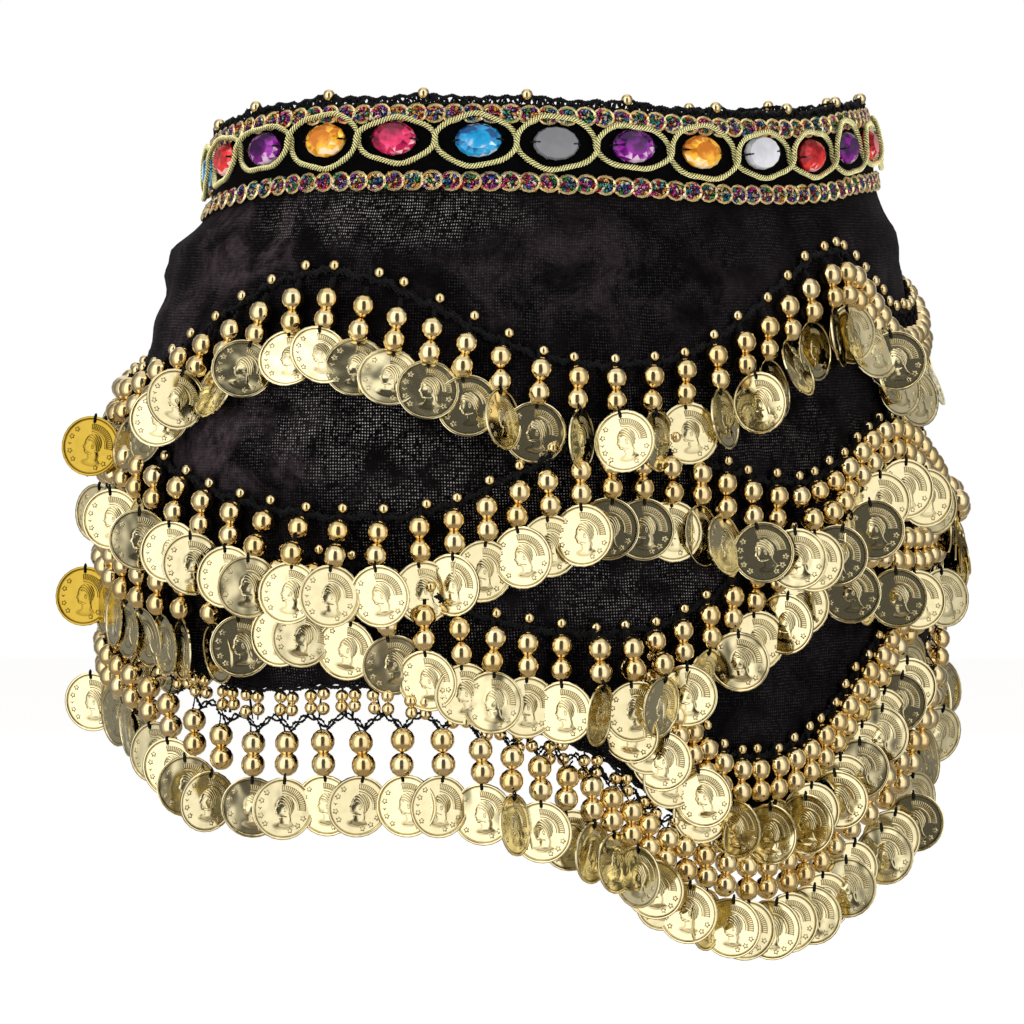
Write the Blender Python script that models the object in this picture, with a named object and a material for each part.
"""Belly dance hip scarf: a velvet wrap with a gemmed waistband and rows of hanging coins.

Metres, +Z up, front at -Y. The origin is the middle of the waistband, where the wearer's
waist holds the scarf. A place on the cloth is given by its girth (the share of the way
round, in degrees, 0 at the front and + towards +X), its height in millimetres and how far
it stands off the cloth in millimetres.
"""
from bisect import bisect_right
from math import cos, hypot, pi, radians, sin

import bmesh
import bpy

MM = 0.001

# ---- the cloth ------------------------------------------------------------------------
LAP_START = -187.0        # girth of the left end of the trims, where the outer end lies
LAP_END = 173.0           # girth of the outer end: one full turn later
UNDERLAP = 14.0           # degrees of bare cloth that run on under the outer end
LAP_LIFT = 4.2            # how far the outer end stands off, over the underlap and its tape
LAP_RAMP_FROM = 128.0     # the outer end rises between these two girths
LAP_RAMP_TO = 158.0
WALL = 2.0
COLUMNS = 62              # cloth columns round the whole wrap
BAND_TOP = 13.4           # the waistband's edges, above and below its middle line
BAND_FOOT = -16.2
SEAM = 0.5                # gap under whatever lies on the cloth

# Horizontal sections of the outer face, an ellipse at each height.
# height, half width (X), half depth (Y), shift of the centre towards the back
SECTIONS = (
    (18.0, 130.3, 111.0, 0.0),
    (0.0, 133.9, 114.0, 0.0),
    (-16.0, 135.6, 115.5, 0.0),
    (-25.0, 137.6, 117.2, 0.5),
    (-46.0, 149.4, 125.5, 3.0),
    (-68.0, 154.3, 128.1, 4.0),
    (-94.0, 161.4, 132.3, 5.5),
    (-132.0, 166.6, 135.0, 6.5),
    (-169.0, 168.6, 134.9, 6.5),
    (-188.0, 166.9, 133.5, 6.5),
    (-230.0, 164.7, 131.8, 6.5),
    (-300.0, 162.5, 130.0, 6.5),
)
SECTIONS_UP = tuple(reversed(SECTIONS))
MM_PER_DEGREE = 2.64      # girth of one degree at the hips
BAND_MM_PER_DEGREE = 2.17

# Places where the cloth swells out, or lies further in, above the first row of coins:
# girth, height, half width in degrees, half height, rise
SWELLS = (
    (52.0, -32.0, 55.0, 20.0, 3.2),
    (-128.0, -28.0, 36.0, 90.0, -5.6),
    (-124.0, -43.0, 30.0, 13.0, 4.6),
    (125.0, -38.0, 40.0, 20.0, 2.0),
)

# Middle line of the waistband: girth, height. It hangs a little lower on the left.
BAND_LINE = (
    (-187.0, -4.0), (-150.0, -10.0), (-118.0, -11.5), (-103.0, -7.8), (-90.0, -4.2),
    (-78.0, -2.4), (-64.0, -2.2), (-52.0, -2.4), (-30.0, -4.0), (-7.0, -6.4), (10.0, -5.6), (30.0, -1.0),
    (60.0, 2.0), (120.0, 2.0), (173.0, -4.0),
)

# Lower edge of the cloth: girth, height. A point hangs at the front.
HEM_LINE = (
    (-187.0, -158.0), (-150.0, -162.0), (-118.0, -171.0), (-105.0, -177.0), (-91.0, -186.0),
    (-78.0, -194.0), (-65.0, -192.0), (-54.0, -194.0), (-45.0, -202.0), (-31.0, -217.0),
    (-18.0, -239.0), (-6.0, -247.0), (4.0, -243.0), (14.0, -231.0), (26.0, -219.0),
    (36.0, -204.0), (46.0, -186.0), (60.0, -170.0), (90.0, -163.0), (140.0, -158.0),
    (173.0, -158.0),
)

# Rows of the cloth's mesh below the waistband, as shares of the way down to the hem.
DROPS = (0.0, 0.06, 0.16, 0.29, 0.43, 0.58, 0.75, 1.0)

# ---- the waistband's trims --------------------------------------------------------------
BRAID_HEIGHT = 5.8
BRAID_THICK = 1.0
LOOPS = 28                # oval loops of gold cord round the band, a gem in each
FIRST_CROSSING = LAP_START
CORD_RADIUS = 0.9
LOOP_CENTRE = 1.0         # the loops and gems lie this far above the band's middle line
LOOP_RISE = 9.2           # height of a loop's cord above their own middle
CORD_STAND = 3.0          # the cord's middle off the cloth, clear of the braids
CROSSING_SHIFT = 1.25     # one cord passes this far over the middle, the other under it
STEPS_PER_LOOP = 5
GEM_LENGTH = 16.5
GEM_HEIGHT = 12.0
GEM_THICK = 4.0
GEM_TABLE = 0.55          # size of a gem's flat top against its outline
GEM_SIDES = 8
EDGING_HEIGHT = 3.4
EDGING_THICK = 1.4
EDGING_BEADS = 21
EDGING_BEAD_PHASE = 0.35  # how far into its share of the edging each bead sits
EDGING_BEAD_RISE = 3.4
EDGING_BEAD_HALF = 2.0
TAPE_FROM = -198.0        # the hook tape between the two ends, on the underlap
TAPE_TO = -190.0
TAPE_HALF = 12.0
TAPE_THICK = 1.0

# ---- rows of coins ----------------------------------------------------------------------
STRAND_PITCH = 30.0       # a strand of two beads and a coin at each step along a row
CHAIN_HALF = 2.2          # half height of the crochet chain that a row hangs from
CHAIN_THICK = 1.8
CHAIN_STAND = 0.9         # gap behind a row's chain, whose short straights span the cloth
ROOT_HALF = 1.3
SWAG = 1.25               # above 1, a swag is rounder at its low point than at its peaks
OVER_LIFT = 7.0           # how far a strand stands off where it passes over a lower row
OVER_RUN = 9.0            # length over which it gets there
OVER_REACH = 6.0          # degrees past a lower row's end where a strand still stands off
HEM_GAP = 1.2             # between the cloth's edge and that net

# One strand, downwards from its chain: drop, half width, half depth, stand off the cloth
STRAND = (
    (6.0, 3.3, 3.3, 4.6),     # upper bead
    (10.0, 0.7, 0.7, 4.6),
    (14.0, 3.3, 3.3, 4.6),    # lower bead
    (18.0, 5.2, 0.5, 3.4),    # coin
    (28.0, 11.0, 0.5, 3.2),
    (38.5, 4.6, 0.5, 3.2),
)

# Peaks and low points of the rows' swags: girth, height
ROW_1 = ((-187.0, -46.0), (-115.0, -84.0), (-71.6, -46.0), (-29.0, -79.0), (14.0, -38.0),
         (33.0, -60.0), (84.0, -38.0), (130.0, -72.0), (173.0, -46.0))
ROW_2 = ((-187.0, -120.0), (-113.0, -106.0), (-62.0, -132.0), (-28.0, -104.0), (-0.6, -121.0),
         (23.0, -100.0), (62.0, -124.0), (104.0, -98.0), (173.0, -120.0))
ROW_3 = ((-187.0, -146.0), (-125.0, -136.0), (-86.0, -152.0), (-72.0, -145.0), (-31.0, -173.0),
         (7.0, -134.0), (30.0, -139.0), (55.0, -132.0), (104.0, -150.0), (140.0, -134.0),
         (173.0, -146.0))
ROW_4 = ((-29.0, -180.0), (-7.5, -218.5), (34.0, -162.0))
SWAG_ROWS = (ROW_1, ROW_2, ROW_3, ROW_4)

# Height of the beaded net from the cloth's edge to the foot of the hem's chain: girth, height
HEM_NET = (
    (-187.0, 9.0), (-116.0, 9.0), (-103.0, 9.5), (-93.0, 12.0), (-84.0, 14.8), (-64.0, 15.6),
    (-55.0, 13.6), (-47.0, 10.4), (-39.0, 9.0), (0.0, 8.4), (12.0, 5.6), (36.0, 5.6),
    (60.0, 8.0), (90.0, 9.0), (173.0, 9.0),
)

# ---- colours ----------------------------------------------------------------------------
# colour, roughness, metallic
FINISHES = {
    "black_velvet": ((0.012, 0.009, 0.011), 0.9, 0.0),
    "metallic_braid": ((0.30, 0.20, 0.16), 0.45, 0.6),
    "gold_cord": ((0.55, 0.45, 0.12), 0.4, 0.8),
    "crochet_yarn": ((0.01, 0.01, 0.011), 0.85, 0.0),
    "gold_coin": ((0.78, 0.66, 0.34), 0.25, 1.0),
    "hook_tape": ((0.02, 0.02, 0.02), 0.95, 0.0),
}
GEM_COLOURS = {
    "blue": (0.02, 0.30, 0.62),
    "red": (0.55, 0.01, 0.03),
    "purple": (0.20, 0.01, 0.32),
    "amber": (0.90, 0.34, 0.02),
    "ruby": (0.62, 0.01, 0.10),
    "clear": (0.45, 0.45, 0.46),
}
GEM_ROUND = ("blue", "red", "purple", "amber", "ruby", "blue", "clear", "purple", "amber",
             "clear", "red", "purple", "red", "ruby")
GEM_SHIFT = 5             # the repeat starts this many gems before the left end's first


def clear_scene():
    """Remove whatever the scene already holds."""
    for thing in list(bpy.data.objects):
        bpy.data.objects.remove(thing, do_unlink=True)


def smooth_value(knots, place, column=1):
    """Value of a table at a place, smooth and without overshoot between its rows."""
    places = [row[0] for row in knots]
    last = len(knots) - 2
    low = min(max(bisect_right(places, place) - 1, 0), last)
    span = places[low + 1] - places[low]
    share = min(max((place - places[low]) / span, 0.0), 1.0)

    def chord(index):
        if index < 0 or index > last:
            return 0.0
        return (knots[index + 1][column] - knots[index][column]) / (places[index + 1] - places[index])

    def slope(index):
        before, after = chord(index - 1), chord(index)
        if before * after <= 0.0:
            return 0.0
        return 2.0 * before * after / (before + after)

    start, end = knots[low][column], knots[low + 1][column]
    rise = end - start
    curve = share * share * (3.0 - 2.0 * share)
    leave = slope(low) * span * share * (1.0 - share) ** 2
    arrive = slope(low + 1) * span * share * share * (1.0 - share)
    return start + rise * curve + leave - arrive


def swag_height(row, girth):
    """Height of a row's chain: swags hung between the table's peaks and low points."""
    places = [knot[0] for knot in row]
    low = min(max(bisect_right(places, girth) - 1, 0), len(row) - 2)
    here, there = row[low], row[low + 1]
    share = min(max((girth - here[0]) / (there[0] - here[0]), 0.0), 1.0)
    if there[1] < here[1]:
        here, there = there, here
        share = 1.0 - share
    ease = (0.5 - 0.5 * cos(pi * share)) ** SWAG
    return here[1] + (there[1] - here[1]) * ease


def wrapped(girth):
    """The girth brought into the turn between the two lap ends."""
    return LAP_START + (girth - LAP_START) % 360.0 if girth < LAP_START else girth


def band_line(girth):
    return smooth_value(BAND_LINE, wrapped(girth))


def hem_line(girth):
    return smooth_value(HEM_LINE, wrapped(girth))


def hem_chain(girth):
    """Height of the chain at the foot of the hem's net."""
    return hem_line(girth) - smooth_value(HEM_NET, wrapped(girth)) + CHAIN_HALF


def row_top(number, girth):
    """Height of the top of a row's chain, which for the hem is the top of its net."""
    if number == len(SWAG_ROWS):
        return hem_line(girth) - HEM_GAP
    return swag_height(SWAG_ROWS[number], girth) + CHAIN_HALF


def row_line(number, girth, beyond=0.0):
    """Height of a row's chain, or None at a girth that lies further `beyond` its ends."""
    if number == len(SWAG_ROWS):
        return hem_chain(girth)
    row = SWAG_ROWS[number]
    return swag_height(row, girth) if row[0][0] - beyond <= girth <= row[-1][0] + beyond else None


def lap_lift(girth):
    """How far the outer end of the wrap stands off, over the underlap."""
    share = min(max((girth - LAP_RAMP_FROM) / (LAP_RAMP_TO - LAP_RAMP_FROM), 0.0), 1.0)
    return LAP_LIFT * share * share * (3.0 - 2.0 * share)


def swell(girth, height):
    """How far the cloth swells out beyond its sections at a place."""
    rise = 0.0
    for middle, level, half_girth, half_height, most in SWELLS:
        aside = abs(wrapped(girth) - middle) / half_girth
        above = abs(height - level) / half_height
        if aside < 1.0 and above < 1.0:
            rise += most * cos(0.5 * pi * aside) ** 2 * cos(0.5 * pi * above) ** 2
    return rise


def section_point(girth, height, out):
    """Point of the section at a height, `out` beyond the cloth's outer face; millimetres."""
    across = smooth_value(SECTIONS_UP, height, 1)
    deep = smooth_value(SECTIONS_UP, height, 2)
    shift = smooth_value(SECTIONS_UP, height, 3)
    stretch = (across ** 2 - deep ** 2) / (4.0 * (across ** 2 + deep ** 2))
    turn = radians(girth)
    turn -= stretch * sin(2.0 * turn)
    normal_x, normal_y = sin(turn) / across, -cos(turn) / deep
    length = hypot(normal_x, normal_y)
    stand = out + lap_lift(girth) + swell(girth, height)
    return (across * sin(turn) + stand * normal_x / length,
            -deep * cos(turn) + shift + stand * normal_y / length)


def cloth_heights(girth):
    """Heights of the cloth's rows of points at a girth, from the top edge to the hem."""
    middle = band_line(girth)
    foot = middle + BAND_FOOT
    drop = foot - hem_line(girth)
    return [middle + BAND_TOP, middle] + [foot - drop * share for share in DROPS]


def on_cloth(girth, height, out):
    """Point in metres that stands `out` millimetres off the cloth's own faces."""
    heights = cloth_heights(girth)
    upper = 0
    while upper < len(heights) - 2 and height < heights[upper + 1]:
        upper += 1
    share = (heights[upper] - height) / (heights[upper] - heights[upper + 1])
    above = section_point(girth, heights[upper], out)
    below = section_point(girth, heights[upper + 1], out)
    return (MM * (above[0] + (below[0] - above[0]) * share),
            MM * (above[1] + (below[1] - above[1]) * share),
            MM * height)


def along(girth, distance):
    """The girth that lies `distance` millimetres further on at the hips' size."""
    return girth + distance / MM_PER_DEGREE


def loft(bm, rings, closed=False):
    """Skin rings of points into a tube, capped at both ends unless it closes on itself."""
    loops = [[bm.verts.new(point) for point in ring] for ring in rings]
    count = len(loops[0])
    pairs = list(zip(loops, loops[1:]))
    if closed:
        pairs.append((loops[-1], loops[0]))
    for first, second in pairs:
        for corner in range(count):
            after = (corner + 1) % count
            bm.faces.new((first[corner], first[after], second[after], second[corner]))
    if not closed:
        bm.faces.new(reversed(loops[0]))
        bm.faces.new(loops[-1])
    return loops


def strip_ring(girth, top, bottom, near, far):
    """Four corners of a strip's section on the cloth, between two heights and stand-offs."""
    return (on_cloth(girth, top, far), on_cloth(girth, bottom, far),
            on_cloth(girth, bottom, near), on_cloth(girth, top, near))


def spread(first, last, steps):
    """Evenly spaced girths from the first to the last."""
    return [first + (last - first) * step / steps for step in range(steps + 1)]


def finish(name, bm, colour, roughness, metallic, smooth_angle=40.0):
    """Turn a bmesh into a named object with its own material."""
    bmesh.ops.recalc_face_normals(bm, faces=bm.faces)
    mesh = bpy.data.meshes.new(name)
    bm.to_mesh(mesh)
    bm.free()
    mesh.shade_smooth()
    mesh.set_sharp_from_angle(angle=radians(smooth_angle))
    thing = bpy.data.objects.new(name, mesh)
    bpy.context.collection.objects.link(thing)
    material = bpy.data.materials.new(name)
    material.use_nodes = True
    shader = material.node_tree.nodes["Principled BSDF"]
    shader.inputs["Base Color"].default_value = (*colour, 1.0)
    shader.inputs["Roughness"].default_value = roughness
    shader.inputs["Metallic"].default_value = metallic
    mesh.materials.append(material)
    return thing


def make_panel():
    """The velvet wrap: one wall from the underlap round to the outer end."""
    bm = bmesh.new()
    rings = []
    for girth in spread(LAP_START - UNDERLAP, LAP_END, COLUMNS):
        heights = cloth_heights(girth)
        outer = [on_cloth(girth, height, 0.0) for height in heights]
        inner = [on_cloth(girth, height, -WALL) for height in reversed(heights)]
        rings.append(outer + inner)
    loops = [[bm.verts.new(point) for point in ring] for ring in rings]
    count = len(loops[0])
    for first, second in zip(loops, loops[1:]):
        for corner in range(count):
            after = (corner + 1) % count
            bm.faces.new((first[corner], first[after], second[after], second[corner]))
    for loop in (loops[0], loops[-1]):
        for row in range(count // 2 - 1):
            bm.faces.new((loop[row], loop[row + 1], loop[count - 2 - row], loop[count - 1 - row]))
    return finish("velvet_panel", bm, *FINISHES["black_velvet"])


def make_braid(name, low):
    """A flat metallic braid along one edge of the waistband."""
    bm = bmesh.new()
    rings = [strip_ring(girth, band_line(girth) + low + BRAID_HEIGHT, band_line(girth) + low,
                        SEAM, SEAM + BRAID_THICK)
             for girth in spread(LAP_START + 0.3, LAP_END - 0.1, COLUMNS)]
    loft(bm, rings)
    return finish(name, bm, *FINISHES["metallic_braid"])


def make_loop_cord(name, side):
    """One of the two gold cords that cross each other to make the oval loops."""
    bm = bmesh.new()
    rings = []
    steps = LOOPS * STEPS_PER_LOOP
    for step in range(1, steps):
        girth = FIRST_CROSSING + 360.0 * step / steps
        phase = pi * step / STEPS_PER_LOOP
        crest = abs(sin(phase)) ** 0.8
        swap = 1.0 if (step // STEPS_PER_LOOP) % 2 == 0 else -1.0
        rise = side * swap * LOOP_RISE * crest
        if step % STEPS_PER_LOOP == 0:
            rise = 0.0
        stand = CORD_STAND + side * CROSSING_SHIFT * cos(phase) ** 3
        ring = []
        for corner in range(3):
            turn = 2.0 * pi * corner / 3.0
            height = band_line(girth) + LOOP_CENTRE + rise + CORD_RADIUS * cos(turn)
            ring.append(on_cloth(girth, height, stand + CORD_RADIUS * sin(turn)))
        rings.append(ring)
    loft(bm, rings)
    return finish(name, bm, *FINISHES["gold_cord"], smooth_angle=80.0)


def make_gem(number):
    """An oval cut stone, flat behind, with a bevel up to its flat top."""
    bm = bmesh.new()
    middle = FIRST_CROSSING + 360.0 * (number + 0.5) / LOOPS
    colour = GEM_ROUND[(number - GEM_SHIFT) % len(GEM_ROUND)]
    levels = ((1.0, SEAM), (1.0, SEAM + 0.35 * GEM_THICK), (GEM_TABLE, SEAM + GEM_THICK))
    rings = []
    for size, stand in levels:
        ring = []
        for corner in range(GEM_SIDES):
            turn = 2.0 * pi * (corner + 0.5) / GEM_SIDES
            girth = middle + 0.5 * GEM_LENGTH * size * cos(turn) / BAND_MM_PER_DEGREE
            rise = LOOP_CENTRE + 0.5 * GEM_HEIGHT * size * sin(turn)
            ring.append(on_cloth(girth, band_line(middle) + rise, stand))
        rings.append(ring)
    loft(bm, rings)
    return finish(f"gem_{number + 1:02d}", bm, GEM_COLOURS[colour], 0.08, 0.0, smooth_angle=5.0)


def make_edging():
    """The crochet edging that stands on the top edge, with a small bead at intervals."""
    bm = bmesh.new()
    bead_half = EDGING_BEAD_HALF / BAND_MM_PER_DEGREE
    step = 360.0 / EDGING_BEADS
    middle = -0.5 * WALL
    rings = []
    for bead in range(EDGING_BEADS):
        start = LAP_START + step * bead
        centre = start + step * EDGING_BEAD_PHASE
        stations = ((start + 0.4, 0.0), (centre - bead_half, 0.0),
                    (centre, EDGING_BEAD_RISE), (centre + bead_half, 0.0))
        for girth, rise in stations:
            foot = band_line(girth) + BAND_TOP
            near, far = middle - 0.5 * EDGING_THICK, middle + 0.5 * EDGING_THICK
            rings.append([edging_point(girth, foot, level, stand) for level, stand in (
                (EDGING_HEIGHT + rise, far), (SEAM, far), (SEAM, near),
                (EDGING_HEIGHT + rise, near))])
    loft(bm, rings)
    return finish("crochet_edging", bm, *FINISHES["crochet_yarn"])


def edging_point(girth, foot, level, out):
    """Point straight above the cloth's top edge."""
    x, y, _ = on_cloth(girth, foot, out)
    return (x, y, MM * (foot + level))


def make_hook_tape():
    """The hook tape on the underlap, which holds the outer end at the waistband."""
    bm = bmesh.new()
    rings = [strip_ring(girth, band_line(girth) + TAPE_HALF, band_line(girth) - TAPE_HALF,
                        SEAM, SEAM + TAPE_THICK)
             for girth in spread(TAPE_FROM, TAPE_TO, 3)]
    loft(bm, rings)
    return finish("hook_tape", bm, *FINISHES["hook_tape"])


def stations_along(number, first, last):
    """Girths of a row's strands, a pitch apart along the row's own line."""
    step = 0.25
    girth, walked, places = first, 0.5 * STRAND_PITCH, []
    while girth < last:
        rise = row_line(number, min(girth + step, last)) - row_line(number, girth)
        walked += hypot(rise, step * MM_PER_DEGREE)
        girth += step
        if walked >= STRAND_PITCH and girth < last - 1.0:
            places.append(girth)
            walked -= STRAND_PITCH
    return places


def over_lift(number, girth, height):
    """How far a row's strand stands off where it hangs over the rows below it."""
    share = 0.0
    for lower in range(number + 1, len(SWAG_ROWS) + 1):
        line = row_line(lower, girth, OVER_REACH)
        if line is not None:
            share = max(share, min((line + OVER_RUN - height) / OVER_RUN, 1.0))
    return OVER_LIFT * share * share * (3.0 - 2.0 * share)


def add_strand(bm, root, number, girth):
    """Grow two beads and a coin downwards from the four corners of a strand's root."""
    line = row_line(number, girth)
    foot = root
    for drop, half_width, half_depth, stand in STRAND:
        height = line - drop
        stand += over_lift(number, girth, height)
        left, right = along(girth, -half_width), along(girth, half_width)
        ring = [bm.verts.new(on_strand(girth, place, height, stand + depth))
                for place, depth in ((left, half_depth), (right, half_depth),
                                     (right, -half_depth), (left, -half_depth))]
        for corner in range(4):
            after = (corner + 1) % 4
            bm.faces.new((foot[corner], foot[after], ring[after], ring[corner]))
        foot = ring
    bm.faces.new(foot)


def on_strand(girth, place, height, out):
    """Point beside a strand's middle, in the flat plane that touches the cloth there."""
    x, y, z = on_cloth(girth, height, out)
    before, after = on_cloth(girth - 1.0, height, out), on_cloth(girth + 1.0, height, out)
    run_x, run_y = after[0] - before[0], after[1] - before[1]
    length = hypot(run_x, run_y)
    aside = MM * (place - girth) * MM_PER_DEGREE
    return (x + aside * run_x / length, y + aside * run_y / length, z)


def make_row(name, number, first, last, near):
    """A row of strands, fused by their roots into the chain or net that they hang from."""
    bm = bmesh.new()
    places = stations_along(number, first, last)
    columns = [(first, None)]
    for place in places:
        left, right = along(place, -ROOT_HALF), along(place, ROOT_HALF)
        columns += [(0.5 * (columns[-1][0] + left), None), (left, place), (right, None)]
    columns.append((last, None))
    loops = []
    for girth, _ in columns:
        line = row_line(number, girth)
        ring = strip_ring(girth, row_top(number, girth), line - CHAIN_HALF, near,
                          near + CHAIN_THICK)
        loops.append([bm.verts.new(point) for point in ring])
    for (_, strand), here, there in zip(columns, loops, loops[1:]):
        for corner in range(4):
            after = (corner + 1) % 4
            if corner == 1 and strand is not None:
                add_strand(bm, (here[1], there[1], there[2], here[2]), number, strand)
            else:
                bm.faces.new((here[corner], here[after], there[after], there[corner]))
    bm.faces.new(loops[0])
    bm.faces.new(reversed(loops[-1]))
    return finish(name, bm, *FINISHES["gold_coin"], smooth_angle=30.0)


def main():
    clear_scene()
    make_panel()
    make_braid("braid_upper", BAND_TOP - BRAID_HEIGHT)
    make_braid("braid_lower", BAND_FOOT)
    make_loop_cord("loop_cord_a", 1.0)
    make_loop_cord("loop_cord_b", -1.0)
    for number in range(LOOPS):
        make_gem(number)
    make_edging()
    make_hook_tape()
    for number, row in enumerate(SWAG_ROWS):
        first = max(row[0][0], LAP_START + 0.5)
        last = min(row[-1][0], LAP_END - 0.3)
        make_row(f"coin_row_{number + 1}", number, first, last, CHAIN_STAND)
    make_row("coin_row_hem", len(SWAG_ROWS), LAP_START + 0.5, LAP_END - 0.3, -WALL + 0.1)


main()
